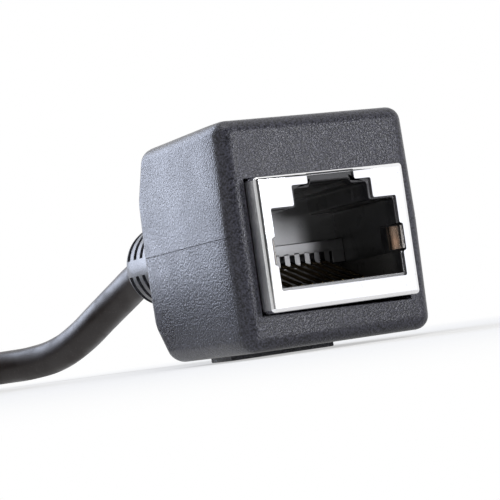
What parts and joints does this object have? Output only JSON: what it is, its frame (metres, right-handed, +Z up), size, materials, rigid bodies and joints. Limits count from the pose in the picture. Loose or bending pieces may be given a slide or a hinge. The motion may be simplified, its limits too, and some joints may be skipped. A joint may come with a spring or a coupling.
{
  "type": "inline network socket on a lead",
  "caption": "Small black two-part housing around a shielded modular network socket, with a slotted strain relief, a thin round cord and a modular plug.",
  "frame": {"origin": "on the resting surface, under the middle of the housing and shield taken without the cord", "axes": "+Y from the socket's mouth to the cord, +Z up from the foot pad to the latch notch's side, +X to the right seen from the mouth"},
  "size_m": [0.0737, 0.0829, 0.0205],
  "materials": {
    "housing": "fine grain",
    "shield_metal": "plated sheet",
    "finger_metal": "plated spring sheet",
    "socket_plastic": "smooth",
    "contact_gold": "gold plated",
    "board": "solder mask",
    "core_white": "smooth",
    "core_orange": "smooth",
    "core_blue": "smooth",
    "core_green": "smooth",
    "core_brown": "smooth",
    "drain": "tinned",
    "boot": "soft moulded",
    "jacket": "satin",
    "tie": "matte",
    "plug_plastic": "smooth"
  },
  "bodies": {
    "socket": {"upper_shell": "housing", "lower_shell": "housing", "shield": "shield_metal", "jack_body": "socket_plastic", "contact_carrier": "socket_plastic", "contact_roots": "contact_gold", "solder_board": "board", "conductor_1": "core_white", "conductor_2": "core_orange", "conductor_3": "core_white", "conductor_4": "core_blue", "conductor_5": "core_white", "conductor_6": "core_green", "conductor_7": "core_white", "conductor_8": "core_brown", "drain_wire": "drain", "crimp_ring": "shield_metal", "strain_relief": "boot", "cord_held": "jacket", "cord_lead": "jacket", "cord_coil": "jacket", "cord_tail": "jacket", "cord_tie": "tie", "plug_body": "plug_plastic", "plug_blades": "contact_gold", "plug_shell": "shield_metal", "plug_boot": "jacket"},
    "contact_arm_1": {"contact_arm_1": "contact_gold"},
    "contact_arm_2": {"contact_arm_2": "contact_gold"},
    "contact_arm_3": {"contact_arm_3": "contact_gold"},
    "contact_arm_4": {"contact_arm_4": "contact_gold"},
    "contact_arm_5": {"contact_arm_5": "contact_gold"},
    "contact_arm_6": {"contact_arm_6": "contact_gold"},
    "contact_arm_7": {"contact_arm_7": "contact_gold"},
    "contact_arm_8": {"contact_arm_8": "contact_gold"},
    "ground_finger_left": {"ground_finger_left": "finger_metal"},
    "ground_finger_right": {"ground_finger_right": "finger_metal"},
    "plug_latch": {"plug_latch": "plug_plastic"}
  },
  "joints": [
    {"name": "contact_flex_1", "type": "hinge", "parent": "socket", "child": "contact_arm_1", "pos_m": [-0.00357, -0.00727, 0.00577], "axis": [-1, 0, 0], "range_deg": [0, 12], "stiffness_Nm_per_rad": 0.03},
    {"name": "contact_flex_2", "type": "hinge", "parent": "socket", "child": "contact_arm_2", "pos_m": [-0.00255, -0.00727, 0.00577], "axis": [-1, 0, 0], "range_deg": [0, 12], "stiffness_Nm_per_rad": 0.03},
    {"name": "contact_flex_3", "type": "hinge", "parent": "socket", "child": "contact_arm_3", "pos_m": [-0.00153, -0.00727, 0.00577], "axis": [-1, 0, 0], "range_deg": [0, 12], "stiffness_Nm_per_rad": 0.03},
    {"name": "contact_flex_4", "type": "hinge", "parent": "socket", "child": "contact_arm_4", "pos_m": [-0.00051, -0.00727, 0.00577], "axis": [-1, 0, 0], "range_deg": [0, 12], "stiffness_Nm_per_rad": 0.03},
    {"name": "contact_flex_5", "type": "hinge", "parent": "socket", "child": "contact_arm_5", "pos_m": [0.00051, -0.00727, 0.00577], "axis": [-1, 0, 0], "range_deg": [0, 12], "stiffness_Nm_per_rad": 0.03},
    {"name": "contact_flex_6", "type": "hinge", "parent": "socket", "child": "contact_arm_6", "pos_m": [0.00153, -0.00727, 0.00577], "axis": [-1, 0, 0], "range_deg": [0, 12], "stiffness_Nm_per_rad": 0.03},
    {"name": "contact_flex_7", "type": "hinge", "parent": "socket", "child": "contact_arm_7", "pos_m": [0.00255, -0.00727, 0.00577], "axis": [-1, 0, 0], "range_deg": [0, 12], "stiffness_Nm_per_rad": 0.03},
    {"name": "contact_flex_8", "type": "hinge", "parent": "socket", "child": "contact_arm_8", "pos_m": [0.00357, -0.00727, 0.00577], "axis": [-1, 0, 0], "range_deg": [0, 12], "stiffness_Nm_per_rad": 0.03},
    {"name": "ground_flex_left", "type": "hinge", "parent": "socket", "child": "ground_finger_left", "pos_m": [-0.00624, -0.01065, 0.00872], "axis": [0, 0, 1], "range_deg": [0, 10], "stiffness_Nm_per_rad": 0.05},
    {"name": "ground_flex_right", "type": "hinge", "parent": "socket", "child": "ground_finger_right", "pos_m": [0.00624, -0.01065, 0.00872], "axis": [0, 0, -1], "range_deg": [0, 10], "stiffness_Nm_per_rad": 0.05},
    {"name": "latch_press", "type": "hinge", "parent": "socket", "child": "plug_latch", "pos_m": [-0.0581, -0.0083, 0.00725], "axis": [-1, 0, 0], "range_deg": [0, 11], "stiffness_Nm_per_rad": 0.15}
  ],
  "couplings": [
    {"joint": "contact_flex_2", "follows": "contact_flex_1", "ratio": 1},
    {"joint": "contact_flex_3", "follows": "contact_flex_1", "ratio": 1},
    {"joint": "contact_flex_4", "follows": "contact_flex_1", "ratio": 1},
    {"joint": "contact_flex_5", "follows": "contact_flex_1", "ratio": 1},
    {"joint": "contact_flex_6", "follows": "contact_flex_1", "ratio": 1},
    {"joint": "contact_flex_7", "follows": "contact_flex_1", "ratio": 1},
    {"joint": "contact_flex_8", "follows": "contact_flex_1", "ratio": 1}
  ]
}
